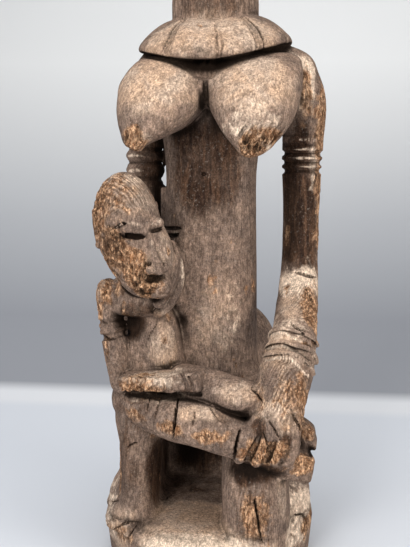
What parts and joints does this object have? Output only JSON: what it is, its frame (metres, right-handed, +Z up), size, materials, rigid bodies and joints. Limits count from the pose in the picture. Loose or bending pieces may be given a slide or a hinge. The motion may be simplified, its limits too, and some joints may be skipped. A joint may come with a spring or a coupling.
{
  "type": "african maternity figure",
  "caption": "Carved wooden figure of a seated mother on a round stool with a child across her lap, on a low round plinth.",
  "frame": {"origin": "middle of the plinth's flat underside", "axes": "+Z up along the log, -Y the way the mother faces, +X her left"},
  "size_m": [0.177, 0.193, 0.6338],
  "materials": {
    "old_wood": "dry weathered grey-brown wood, unvarnished"
  },
  "bodies": {
    "root": {"maternity_figure": "old_wood"}
  },
  "joints": []
}
